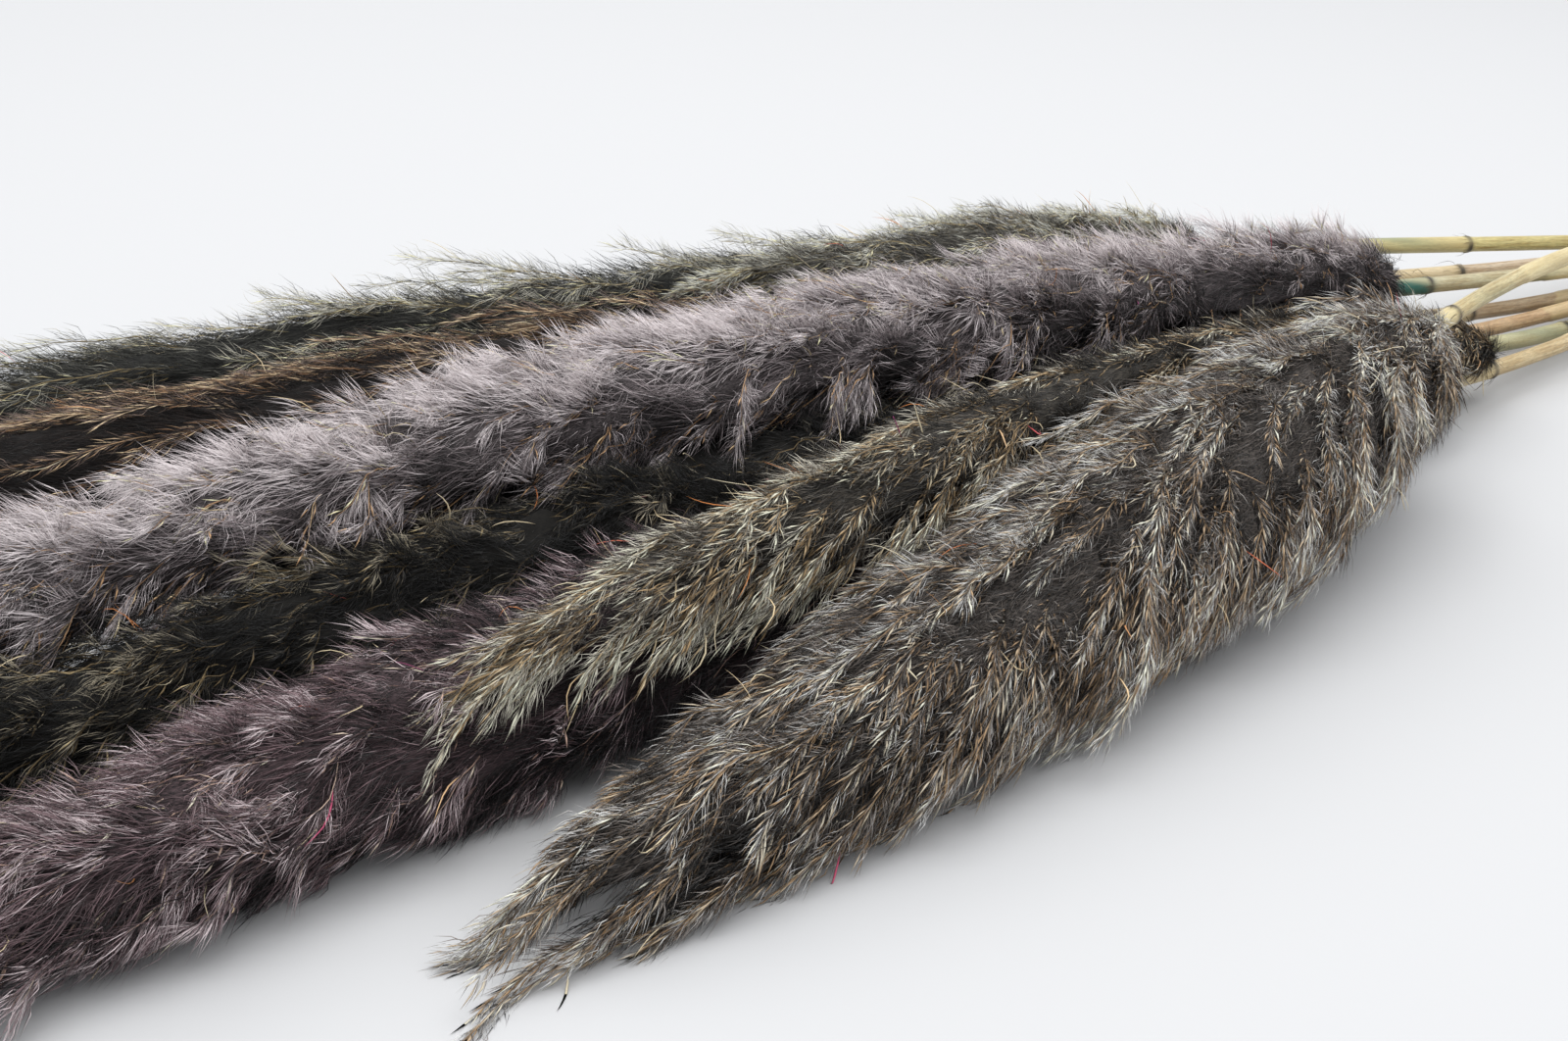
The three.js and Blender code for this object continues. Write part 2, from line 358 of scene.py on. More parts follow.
def swirl_field(at, seed):
    """A direction that drifts slowly from place to place, so that neighbours turn together."""
    rng = np.random.default_rng([SEED, seed])
    total = np.zeros_like(at)
    for _ in range(6):
        wave = rng.normal(0, 1, 3)
        wave *= FULL_TURN / (rng.uniform(*LOCK_SIZE) * MM) / np.linalg.norm(wave)
        total += rng.normal(0, 0.5, 3) * np.sin(at @ wave + rng.uniform(0, 6.28))[:, None]
    return total


def around(angle):
    """Unit vectors across the X direction, at angles from +Y."""
    return np.stack([np.zeros_like(angle), np.cos(angle), np.sin(angle)], axis=-1)


# ---- Reading the CAD ----

def cad_tree(*nodes):
    """The skins of CAD nodes together, for casting rays at."""
    points, faces = [], []
    for node in nodes:
        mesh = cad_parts[node].data
        faces += [tuple(v + len(points) for v in p.vertices) for p in mesh.polygons]
        points += [v.co.copy() for v in mesh.vertices]
    return BVHTree.FromPolygons(points, faces)


PLUMES = cad_tree(*(f"plume_{name}" for name in LOOKS))
LEANS = [Vector(v) for v in (
    (0, 0, 0), (0, 0, 1), (0, 0.8, 0.5), (0, -0.8, 0.5), (0.9, 0, 0.3), (-0.9, 0, 0.3),
    (0, 0.9, 0.1), (0, -0.9, 0.1),
)]


def is_clear(start, direction):
    """True if neither a plume nor the floor is met within CLEAR_REACH."""
    direction = direction.normalized()
    if start.z + direction.z * CLEAR_REACH < 0:
        return False
    return PLUMES.ray_cast(start, direction, CLEAR_REACH)[0] is None


class Body:
    """A CAD solid that runs along X, as a centre line and a radius all round it."""

    def __init__(self, node, degree=3):
        self.low, self.high = (np.array(corner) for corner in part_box(node))
        self.base_x = self.high[0]
        self.length = self.high[0] - self.low[0]
        self.tree = cad_tree(node)
        self.places = (np.arange(STATIONS) + 0.5) / STATIONS
        middles = np.array([self._section_middle(float(self.x_at(p))) for p in self.places])
        self.fits = [np.polyfit(self.places, middles[:, axis], degree) for axis in (0, 1)]
        self.radii = self._radii()
        self.open = None

    def x_at(self, place):
        return self.base_x - self.length * np.asarray(place)

    def place_of(self, positions):
        return (self.base_x - positions[:, 0]) / self.length

    def centre_at(self, place):
        place = np.asarray(place, dtype=float)
        y, z = (np.polyval(fit, place) for fit in self.fits)
        return np.stack([self.x_at(place), y, z], axis=-1)

    def _section_middle(self, x):
        """Middle of the section at x: first from side to side, then from top to bottom."""
        low, high = self.low, self.high
        y, z = (low[1] + high[1]) / 2, (low[2] + high[2]) / 2
        hits_y = []
        for height in np.linspace(low[2] + MM, high[2] - MM, HEIGHTS_PROBED):
            hits_y += self._crossings((x, low[1] - PROBE_START, height), (0, 1, 0), 1)
        if hits_y:
            y = (min(hits_y) + max(hits_y)) / 2
        hits_z = []
        sides = np.linspace(min(hits_y or [y]), max(hits_y or [y]), SIDES_PROBED)
        for side in sides[1:-1]:
            hits_z += self._crossings((x, side, high[2] + PROBE_START), (0, 0, -1), 2)
        if hits_z:
            z = (min(hits_z) + max(hits_z)) / 2
        return y, z

    def _crossings(self, start, direction, axis):
        """First hit from outside, and first hit from the far side back."""
        start, direction = Vector(start), Vector(direction)
        hits = [
            self.tree.ray_cast(start, direction)[0],
            self.tree.ray_cast(start + direction, -direction)[0],
        ]
        return [hit[axis] for hit in hits if hit is not None]

    def _cells(self):
        """Each station and angle, with the centre there and the outward direction."""
        for row, place in enumerate(self.places):
            centre = Vector(self.centre_at(place))
            for column in range(ROUND_STEPS):
                yield (row, column), centre, Vector(around(column * FULL_TURN / ROUND_STEPS))

    def _radii(self):
        """Distance from the centre line to the skin at each station and angle, smoothed."""
        table = np.zeros((STATIONS, ROUND_STEPS))
        for cell, centre, out in self._cells():
            hit = self.tree.ray_cast(centre + out * PROBE_REACH, -out)[0]
            if hit is not None:
                table[cell] = max((hit - centre).dot(out), 0)
        table = sum(np.roll(table, shift, axis=1) for shift in (-1, 0, 1)) / 3
        padded = np.vstack([table[:1], table, table[-1:]])
        return (padded[:-2] + padded[1:-1] + padded[2:]) / 3

    def find_open_skin(self):
        """1 where the skin or the skin beside it can be seen, 0 against a floor or neighbour."""
        table = np.zeros((STATIONS, ROUND_STEPS))
        for cell, centre, out in self._cells():
            start = centre + out * (self.radii[cell] + SKIN_CLEARANCE)
            table[cell] = any(is_clear(start, out + lean) for lean in LEANS)
        beside = ((0, 0), (1, 1), (-1, 1), (1, 0), (-1, 0))
        self.open = np.max([np.roll(table, shift, axis=axis) for shift, axis in beside], axis=0)

    def scatter(self, rng, count):
        """Random places and angles on the part of the skin that can be seen, even by area."""
        area = (self.open * np.maximum(self.radii, 12 * MM)).ravel()
        cells = rng.choice(area.size, count, p=area / area.sum())
        place = (cells // ROUND_STEPS + rng.uniform(0, 1, count)) / STATIONS
        step = cells % ROUND_STEPS + rng.uniform(-0.5, 0.5, count)
        return place, step * FULL_TURN / ROUND_STEPS

    def open_area(self):
        cell = self.length / STATIONS * FULL_TURN / ROUND_STEPS
        return float((self.open * self.radii).sum() * cell)

    def radius_at(self, place, angle):
        """Radius of the body at a place along it and an angle round it."""
        row = np.clip(np.asarray(place) * STATIONS - 0.5, 0, STATIONS - 1.001)
        column = np.mod(np.asarray(angle) / FULL_TURN * ROUND_STEPS, ROUND_STEPS)
        r0, c0 = row.astype(int), column.astype(int) % ROUND_STEPS
        c1 = (c0 + 1) % ROUND_STEPS
        across = column - np.floor(column)
        here = lerp(self.radii[r0, c0], self.radii[r0, c1], across)
        there = lerp(self.radii[r0 + 1, c0], self.radii[r0 + 1, c1], across)
        start = np.clip(np.asarray(place) / BASE_ROUNDING, 0.02, 1)
        return lerp(here, there, row - r0) * np.sqrt(1 - (1 - start) ** 2)

    def point_at(self, place, angle, share):
        """A point at a share of the way from the centre line out to the skin."""
        reach = share * self.radius_at(np.clip(place, 0, 1), angle)
        return self.centre_at(place) + reach[..., None] * around(angle)

    def outward_of(self, positions):
        """Unit vector from the centre line to each position."""
        away = positions - self.centre_at(np.clip(self.place_of(positions), 0, 1))
        away[:, 0] = 0
        return unit(away)

    def turn_of(self, positions):
        """Angle of each position round the centre line."""
        away = positions - self.centre_at(self.place_of(positions))
        return np.arctan2(away[:, 2], away[:, 1])


# ---- Building meshes ----

def put_in_scene(name, data):
    thing = bpy.data.objects.new(name, data)
    bpy.context.scene.collection.objects.link(thing)
    return thing


def new_object(name, points, corners, face_sizes):
    """A smooth-shaded mesh from its points, the corners of all faces, and the faces' sizes."""
    mesh = bpy.data.meshes.new(name)
    starts = np.concatenate([[0], np.cumsum(face_sizes)[:-1]]).astype(np.int32)
    points, corners = np.array(points, dtype=np.float32), np.array(corners, dtype=np.int32)
    mesh.vertices.add(points.size // 3)
    mesh.vertices.foreach_set("co", points.ravel())
    mesh.loops.add(corners.size)
    mesh.loops.foreach_set("vertex_index", corners.ravel())
    mesh.polygons.add(len(face_sizes))
    mesh.polygons.foreach_set("loop_start", starts)
    mesh.polygons.foreach_set("use_smooth", np.ones(len(face_sizes), dtype=bool))
    mesh.update()
    mesh.validate()
    return put_in_scene(name, mesh)


def paint(piece, **values):
    """Writes one number per point for each named attribute."""
    for name, numbers in values.items():
        layer = piece.data.attributes.new(name, "FLOAT", "POINT")
        layer.data.foreach_set("value", np.asarray(numbers, dtype=np.float32).ravel())


def lay_out(piece, pairs):
    """The map that the colours are baked through: one pair per corner of a face."""
    layer = piece.data.uv_layers.new(name="OFBake")
    layer.data.foreach_set("uv", np.asarray(pairs, dtype=np.float32).ravel())


class Strands:
    """Many thin closed spindles: paths (count, points, 3), and one radius and tone each."""

    CORNERS = 3
    TONE_WIDTH = 0.004
    LOWEST = np.array([*(np.array(cad_low) - PROUD)[:2], BELOW_FLOOR])
    HIGHEST = np.array(cad_high) + PROUD

    def __init__(self, flat=1.0, belly=0.35):
        self.flat, self.belly = flat, belly
        self.batches = []

    def add(self, paths, radius, tone):
        """Keeps the strands that stay inside the box that hair may fill."""
        inside = ((paths > self.LOWEST) & (paths < self.HIGHEST)).all(axis=(1, 2))
        self.batches.append([values[inside] for values in (paths, radius, tone)])

    def build(self, name):
        """Pieces of at most MOST_FACES faces; strands are dealt out in turn."""
        columns = [np.concatenate(column) for column in zip(*self.batches)]
        count, steps = columns[0].shape[:2]
        parts = math.ceil(count * 2 * self.CORNERS * (steps - 2) / MOST_FACES)
        names = [name] if parts == 1 else [f"{name}_{number + 1}" for number in range(parts)]
        return [
            self._piece(label, *(values[number::parts] for values in columns))
            for number, label in enumerate(names)
        ]

    def _piece(self, name, paths, radius, tone):
        count, steps = paths.shape[:2]
        rings = steps - 2
        along = np.linspace(0, 1, steps)[1:-1]
        size = radius[:, None] * self._profile(along)[None, :]
        skin = paths[:, 1:-1, None, :] + size[:, :, None, None] * self._ring(paths)
        skin = skin.reshape(count, rings * self.CORNERS, 3)
        points = np.concatenate([paths[:, :1], skin, paths[:, -1:]], axis=1)
        points[..., 2] = np.maximum(points[..., 2], FLOOR_CLEARANCE)
        faces = self._template(rings)[None] + np.arange(count)[:, None, None] * points.shape[1]
        ring_tone = np.tile(np.array([-1.0, 0.0, 1.0]) * self.TONE_WIDTH, rings)
        tones = np.clip(tone, 0.01, 0.99)[:, None] + np.array([0, *ring_tone, 0])
        alongs = np.tile([0.02, *np.repeat(along, self.CORNERS), 0.98], (count, 1))
        piece = new_object(name, points, faces, np.full(faces[..., 0].size, 3))
        paint(piece, tone=tones, along=alongs)
        lay_out(piece, np.stack([tones, alongs], axis=-1).reshape(-1, 2)[faces.ravel()])
        return piece

    def _ring(self, paths):
        """Corners of the cross-section, with one edge of the spindle up to catch the light."""
        lean = unit(paths[:, -1] - paths[:, 0])
        helper = np.where(np.abs(lean[:, 2:3]) < 0.9, [[0.0, 0.0, 1.0]], [[0.0, 1.0, 0.0]])
        side = unit(np.cross(lean, helper))
        other = np.cross(lean, side)
        turns = np.arange(self.CORNERS) * FULL_TURN / self.CORNERS - math.pi / 2
        return (
            np.cos(turns)[None, None, :, None] * side[:, None, None, :]
            + self.flat * np.sin(turns)[None, None, :, None] * other[:, None, None, :]
        )

    def _profile(self, along):
        """Thickness along a spindle: 1 at the belly, thinning to both ends."""
        rising = 0.55 + 0.45 * along / self.belly
        falling = 1 - 0.75 * (along - self.belly) / (1 - self.belly)
        return np.where(along < self.belly, rising, falling)

    @classmethod
    def _template(cls, rings):
        """Faces of one spindle: a fan at each end, and triangles between the rings."""
        corners = cls.CORNERS
        tip = rings * corners + 1
        faces = []
        for corner in range(corners):
            after = (corner + 1) % corners
            faces.append((0, 1 + after, 1 + corner))
            for start in range(1, tip - corners, corners):
                a, b = start + corner, start + after
                faces += [(a, b, b + corners), (a, b + corners, a + corners)]
            faces.append((tip - corners + corner, tip - corners + after, tip))
        return np.array(faces)


def tube(spine, radii, side, up):
    """Points and faces of a closed tube: radii has a row per spine point, a column per side."""
    rows, columns = radii.shape
    turns = np.arange(columns) * FULL_TURN / columns
    out = (
        np.cos(turns)[None, :, None] * side[:, None, :]
        + np.sin(turns)[None, :, None] * up[:, None, :]
    )
    points = spine[:, None, :] + radii[..., None] * out
    points[..., 2] = np.maximum(points[..., 2], FLOOR_CLEARANCE)
    return (points, *tube_faces(rows, columns))


def tube_faces(rows, columns):
    """Quads round a tube and one many-sided face on each end, for rows of points."""
    here = np.arange(rows * columns).reshape(rows, columns)
    after = np.roll(here, -1, axis=1)
    quads = np.stack([here[:-1], here[1:], after[1:], after[:-1]], axis=-1)
    faces = np.concatenate([quads.ravel(), here[0], here[-1, ::-1]])
    return faces, [4] * ((rows - 1) * columns) + [columns, columns]


def tube_map(rows, columns):
    """The bake map of a tube: round it across, along it up. The end faces go in a corner."""
    across = np.arange(columns + 1) / columns
    up = lerp(0.05, 1, np.arange(rows) / (rows - 1))
    grid = np.stack(np.meshgrid(across, up), axis=-1)
    quads = np.stack([grid[:-1, :-1], grid[1:, :-1], grid[1:, 1:], grid[:-1, 1:]], axis=2)
    disc = 0.012 * around(np.arange(columns) * FULL_TURN / columns)[:, 1:]
    return np.concatenate([quads.reshape(-1, 2), disc + (0.02, 0.02), disc[::-1] + (0.06, 0.02)])


def run_along(spine):
    """Distance of each point of a line from its first one."""
    return np.concatenate([[0], np.cumsum(np.linalg.norm(np.diff(spine, axis=0), axis=1))])


# ---- Materials ----

def node_material(name, roughness, sheen=0.0, specular=0.3):
    material = bpy.data.materials.new(name)
    material.use_nodes = True
    shader = material.node_tree.nodes["Principled BSDF"]
    for socket, value in (
        ("Roughness", roughness), ("Sheen Weight", sheen), ("Specular IOR Level", specular),
    ):
        shader.inputs[socket].default_value = value
    return material, material.node_tree, shader


def add_node(tree, kind, output, inputs=(), **settings):
    """Adds a shader node, links or sets its inputs, and gives one of its outputs."""
    node = tree.nodes.new(f"ShaderNode{kind}")
    for name, value in settings.items():
        setattr(node, name, value)
    for socket, value in dict(inputs).items():
        if isinstance(value, bpy.types.NodeSocket):
            tree.links.new(value, node.inputs[socket])
        else:
            node.inputs[socket].default_value = value
    return node.outputs[output]


def attribute(tree, name, output="Fac"):
    return add_node(tree, "Attribute", output, attribute_name=name)


def noise(tree, **inputs):
    return add_node(tree, "TexNoise", "Fac", inputs)


def mix(tree, factor, first, second, mode="MIX"):
    inputs = {"Factor": factor, "A": first, "B": second}
    return add_node(tree, "Mix", "Result", inputs, data_type="RGBA", blend_type=mode)


def ramp(tree, factor, *stops):
    """A colour ramp from (place, display colour) stops, some with a gain."""
    colour = add_node(tree, "ValToRGB", "Color", {"Fac": factor})
    elements = colour.node.color_ramp.elements
    while len(elements) < len(stops):
        elements.new(0.5)
    for element, (place, shade, *gain) in zip(elements, stops):
        element.position = place
        element.color = (*to_linear(shade, *gain), 1)
    return colour


def strand_material(name, colours, painted_root_shade, roughness, sheen):
    """Colour from the strand's tone, darker towards its root as painted shade where strands go in
    among the others.
    """
    material, tree, shader = node_material(name, roughness, sheen, specular=0.15)
    dark, middle, light = colours
    colour = ramp(
        tree, attribute(tree, "tone"),
        (0.0, dark), (0.5, middle, HAIR_GAIN), (1.0, light, HAIR_GAIN),
    )
    shade = ramp(
        tree, attribute(tree, "along"), (0.0, (painted_root_shade,) * 3), (0.4, (235,) * 3), (1.0, WHITE),
    )
    colour = mix(tree, 1, colour, shade, "MULTIPLY")
    tree.links.new(colour, shader.inputs["Base Color"])
    return material


def stray_material(name):
    """Mostly pale straw, a few orange, coral and magenta from the dye bath."""
    material, tree, shader = node_material(name, 0.5)
    colour = ramp(
        tree, attribute(tree, "tone"), (0.0, (206, 196, 168)), (0.45, (222, 200, 160)),
        (0.6, (206, 130, 66)), (0.75, (210, 96, 92)), (0.9, (170, 70, 130)),
    )
    tree.links.new(colour, shader.inputs["Base Color"])
    return material


def core_material(name, colours):
    """The matted inside of a plume, painted darker than its hair as shade."""
    material, tree, shader = node_material(name, 0.95)
    dark, middle, _ = colours
    # painted shade: the hair's dark and middle colours, dimmed further
    colour = ramp(tree, noise(tree, Scale=220), (0.35, dark, 0.6), (0.8, middle, 0.5))
    tree.links.new(colour, shader.inputs["Base Color"])
    return material


def stem_material(name, colour):
    """Dry straw: fine lengthwise grain, paler sheaths, dark node rings and teal dye stains."""
    material, tree, shader = node_material(name, 0.5, specular=0.45)
    grain = attribute(tree, "grain", "Vector")
    fine = noise(tree, Scale=9, Detail=6, Vector=grain)
    blotches = noise(tree, Scale=1.4, Vector=grain)
    darker = tuple(c * 0.72 for c in colour)
    paler = tuple(min(c * 1.1, 250) for c in colour)
    base = ramp(tree, fine, (0.25, darker), (0.55, colour), (0.8, paler))
    brown = ramp(tree, blotches, (0.35, WHITE), (0.75, (196, 178, 150)))
    base = mix(tree, 1, base, brown, "MULTIPLY")
    for painted, tint in (("sheath", SHEATH_TINT), ("stain", STAIN_TINT), ("node", NODE_TINT)):
        base = mix(tree, attribute(tree, painted), base, (*to_linear(tint), 1))
    tree.links.new(base, shader.inputs["Base Color"])
    relief = {"Strength": 0.35, "Distance": 0.3 * MM, "Height": fine}
    tree.links.new(add_node(tree, "Bump", "Normal", relief), shader.inputs["Normal"])
    return material


def jute_material():
    material, tree, shader = node_material("jute", 0.9, sheen=0.3)
    fibres = noise(tree, Scale=900, Detail=4, Vector=add_node(tree, "TexCoord", "Object"))
    stops = (0.3, (104, 78, 46)), (0.55, (158, 126, 84)), (0.8, (196, 168, 122))
    colour = ramp(tree, fibres, *stops)
    tree.links.new(colour, shader.inputs["Base Color"])
    return material


# ---- Growing a plume ----

def tassel_paths(body, look, rng):
    """Side branches: they leave the core, lie down along the skin and sink with gravity."""
    count = look["tassels"]
    ends, turns = body.scatter(rng, count)
    starts = ends - 0.6 * lerp(*look["tassel"], ends) * MM / body.length
    starts = np.maximum(starts, rng.uniform(-0.01, 0.03, count))
    growth = np.clip(starts, 0, 1)
    length = lerp(*look["tassel"], growth) * MM * rng.uniform(0.75, 1.2, count)
    sweep = lerp(*look["sweep"], growth) * rng.uniform(0.85, 1.0, count)
    droop = np.radians(lerp(*look["droop"], growth)) * rng.uniform(0.6, 1.3, count)
    t = np.linspace(0, 1, TASSEL_POINTS)
    snake = smooth_noise(rng, t, count) * look["wave"] * MM
    place = starts[:, None] + (length * sweep / body.length)[:, None] * t[None, :]
    radius_here = np.maximum(body.radius_at(np.clip(growth, 0, 0.95), turns), 6 * MM)
    # the +Y side sinks one way round, the -Y side the other
    sink = (np.cos(turns) * droop)[:, None] * t[None, :] ** 1.4
    angle = turns[:, None] - sink + snake / radius_here[:, None]
    reach = look["reach"] + look["loose"] * rng.normal(0, 1, count)
    rise = lerp(TASSEL_START, 1, np.clip(t / look["rise"], 0, 1) ** 0.7)
    paths = body.point_at(place, angle, rise[None, :] * reach[:, None])
    past_tip = np.maximum(place - 1, 0) * body.length
    lift = smooth_noise(rng, t, count) * look["wave"] * MM * 0.6
    lift += look["flare"] * MM * rng.uniform(0, 1.6, (count, 1)) * t ** 3
    paths += (TIP_SPREAD * past_tip + lift)[..., None] * around(angle)
    sag = look["sag"] * MM * np.maximum(np.abs(np.cos(turns)), 0.2) * lerp(0.6, 1.4, growth)
    paths[..., 2] -= sag[:, None] * t[None, :] ** 2
    part = look["fork"] * MM * np.clip((place - FORK_START) / (1 - FORK_START), 0, 1.5)
    paths[..., 1] += part * np.tanh(1.5 * np.cos(turns))[:, None]
    paths[..., 2] = np.maximum(paths[..., 2], TASSEL_CLEARANCE)
    return paths


def along_paths(paths, rng, step):
    """Points every step along each path: position, direction, which path, and how far."""
    pieces = np.linalg.norm(np.diff(paths, axis=1), axis=2)
    reach = np.concatenate([np.zeros((len(paths), 1)), np.cumsum(pieces, axis=1)], axis=1)
    found = []
    for owner, (path, run) in enumerate(zip(paths, reach)):
        marks = np.arange(step * rng.uniform(0.2, 1), run[-1], step)
        if len(marks) == 0:
            continue
        ahead = np.minimum(marks + 2 * MM, run[-1])
        at, there, here = (
            np.stack([np.interp(distance, run, path[:, axis]) for axis in range(3)], axis=1)
            for distance in (marks, ahead, ahead - 4 * MM)
        )
        found.append((at, unit(there - here), np.full(len(marks), owner), marks / run[-1]))
    return tuple(np.concatenate(column) for column in zip(*found))


def sprout(rng, at, ahead, outward, length, splay, turn, bend=0.35, steps=3, curl=0.1, swirl=0.0):
    """Curved hairs: from at, splayed off ahead towards turn, bending back towards ahead."""
    across = np.cross(ahead, outward)
    side = np.cos(turn)[:, None] * outward + np.sin(turn)[:, None] * across
    start = unit(np.cos(splay)[:, None] * ahead + np.sin(splay)[:, None] * side)
    if swirl:
        turned = swirl * swirl_field(at, SWIRL_SEED)
        start = unit(start + turned)
        ahead = unit(ahead + turned)
    u = np.linspace(0, 1, steps)[None, :, None]
    bent = start[:, None, :] + bend * u * (ahead - start)[:, None, :]
    wobble = rng.normal(0, curl, (len(at), 1, 3)) * np.sin(u * math.pi)
    return at[:, None, :] + length[:, None, None] * (u * bent + wobble * 0.5)


def faded(look, place):
    """The change of tone from the plume's base to its tip, in places painted shade under other
    plumes.
    """
    base, tip, where = look["fade"]
    return lerp(base, tip, 0.5 + 0.5 * np.tanh((place - where) / FADE_LENGTH))


def tone_patches(body, rng, positions):
    """Slow light and dark drifts along and round the plume."""
    place, turn = body.place_of(positions), body.turn_of(positions)
    total = np.zeros(len(positions))
    for _ in range(5):
        a, b, c = rng.uniform(3, 9), rng.integers(1, 4), rng.uniform(0, 6.28)
        total += 0.4 * np.sin(FULL_TURN * a * place + b * turn + c)
    return total / 2


def painted_top_light_tone(look, angle):
    """Painted light and shade: lighter on top of the plume, darker on its sides, as light from
    above falls on it.
    """
    return look["painted_top_light"] * (np.sin(angle) - 0.5)


class Spikelets:
    """Where hair and glumes grow: points along the side branches, with direction and tone."""

    def __init__(self, body, look, paths, rng):
        self.at, self.ahead, owner, self.share = along_paths(paths, rng, look["step"] * MM)
        self.count = len(self.at)
        outward = body.outward_of(self.at)
        lengthwise = np.sum(outward * self.ahead, axis=1, keepdims=True) * self.ahead
        self.outward = unit(outward - lengthwise)
        drift = tone_patches(body, rng, self.at)
        branch, patch = look["mottle"]
        place = np.clip(body.place_of(self.at), 0, 1)
        turn = body.turn_of(self.at)
        radius = np.maximum(body.radius_at(place, turn), 5 * MM)
        depth = np.linalg.norm(self.at - body.centre_at(place), axis=1) / radius
        # painted light and shade: besides random differences and dye, this tone is painted
        # lighter on top and at the skin, darker deep inside, and on some plumes darker at the
        # base
        self.tone = (
            rng.normal(0, branch, len(paths))[owner] + patch * drift + faded(look, place)
            + painted_top_light_tone(look, turn) + LOCK_CONTRAST * swirl_field(self.at, LOCK_SEED)[:, 0]
            + TIP_CONTRAST * (self.share - 0.5)
            + PAINTED_DEPTH_SHADE * np.clip(depth - SKIN_DEPTH, -0.3, 0.3)
        )

    def frames(self, chosen=slice(None)):
        return self.at[chosen], self.ahead[chosen], self.outward[chosen]


def grow_hair(spikelets, look, rng, hairs):
    n = spikelets.count
    for _ in range(look["hairs"]):
        length = look["hair"] * MM * rng.uniform(0.6, 1.3, n) * lerp(1.0, 0.75, spikelets.share)
        splay = np.radians(look["splay"] * rng.uniform(0.4, 1.5, n))
        turn = rng.uniform(-math.pi * 0.75, math.pi * 0.75, n)
        bend, swirl = look["comb"], look["swirl"]
        strand = sprout(rng, *spikelets.frames(), length, splay, turn, bend, swirl=swirl)
        tone = 0.5 + HAIR_TONE_SPREAD * rng.normal(0, 1, n) + spikelets.tone
        hairs.add(strand, rng.uniform(*HAIR_RADIUS, n) * MM, tone)


def grow_fur(body, look, rng, hairs):
    """Short thick hair all over the core, so that no bare core shows between the branches."""
    place, angle = body.scatter(rng, int(body.open_area() * CM2_PER_M2 * FUR_PER_CM2))
    on_core = place < look["core_end"]
    place, angle = place[on_core], angle[on_core]
    count = len(place)
    share = CORE_SHARE * rng.uniform(0.92, 1.12, count)
    at = body.point_at(place, angle, share)
    ahead = unit(body.point_at(place + 0.02, angle, share) - at)
    length = look["hair"] * MM * rng.uniform(0.9, 1.5, count)
    splay = np.radians(rng.uniform(8, 34, count))
    turn = rng.uniform(-math.pi / 2, math.pi / 2, count)
    strand = sprout(rng, at, ahead, body.outward_of(at), length, splay, turn, swirl=look["swirl"])
    # painted shade and light: the fur's tone is held down by the under tone as shade between the
    # branches, and painted lighter on top
    tone = (
        faded(look, place) + look["under"] + painted_top_light_tone(look, angle)
        + FUR_TONE_SPREAD * rng.normal(0, 1, count)
        + look["mottle"][1] * tone_patches(body, rng, at)
    )
    hairs.add(strand, rng.uniform(*FUR_RADIUS, count) * MM, tone)


def grow_glumes(spikelets, look, rng, chaff):
    """Chaffy scales in pairs, left and right of the branch in turn."""
    rounds = math.ceil(look["glumes"])
    for number in range(rounds):
        keep = rng.uniform(0, 1, spikelets.count) < look["glumes"] / rounds
        n = int(keep.sum())
        length = look["glume"] * MM * rng.uniform(0.7, 1.2, n)
        splay = np.radians(rng.uniform(*GLUME_SPLAY, n))
        side = np.where(np.arange(spikelets.count) % 2 == number % 2, 1, -1)[keep]
        turn = side * rng.uniform(0.25, 0.6, n) * math.pi
        strand = sprout(rng, *spikelets.frames(keep), length, splay, turn, curl=0.03)
        tone = 0.5 + GLUME_TONE_SPREAD * rng.normal(0, 1, n)
        tone += GLUME_LOCK_SHARE * spikelets.tone[keep]
        chaff.add(strand, rng.uniform(*GLUME_RADIUS, n) * MM, tone)


def grow_strays(spikelets, rng, strays):
    """Long stray awns and scraps of dyed straw."""
    chosen = rng.choice(spikelets.count, STRAYS, replace=False)
    length = rng.uniform(*STRAY_LENGTH, STRAYS) * MM
    splay = np.radians(rng.uniform(*STRAY_SPLAY, STRAYS))
    turn = rng.normal(0, 0.7, STRAYS)
    strand = sprout(rng, *spikelets.frames(chosen), length, splay, turn, 0.3, steps=6, curl=0.2)
    radius = rng.uniform(*STRAY_RADIUS, STRAYS) * MM
    strays.add(strand, radius, rng.beta(1.2, 2.5, STRAYS))


def grow_branches(paths, rng, branches):
    count = len(paths)
    tone = np.clip(0.35 + 0.2 * rng.normal(0, 1, count), 0, 1)
    branches.add(paths, np.full(count, BRANCH_RADIUS * MM), tone)


def plume_core(name, body, look, rng):
    """A lumpy closed solid inside the plume, drawn in at its tip."""
    place = np.linspace(0, look["core_end"], CORE_ROWS)
    angle = np.arange(CORE_COLUMNS) * FULL_TURN / CORE_COLUMNS
    p, a = np.meshgrid(place, angle, indexing="ij")
    bumps = 1 + 0.08 * rng.normal(0, 1, p.shape)
    close = np.sqrt(np.clip((look["core_end"] - p) / CORE_CLOSING, 0.01, 1))
    points = body.point_at(p, a, CORE_SHARE * bumps * close)
    points[..., 2] = np.maximum(points[..., 2], CORE_CLEARANCE)
    faces, sizes = tube_faces(CORE_ROWS, CORE_COLUMNS)
    return new_object(f"{name}_core", points, faces, sizes)


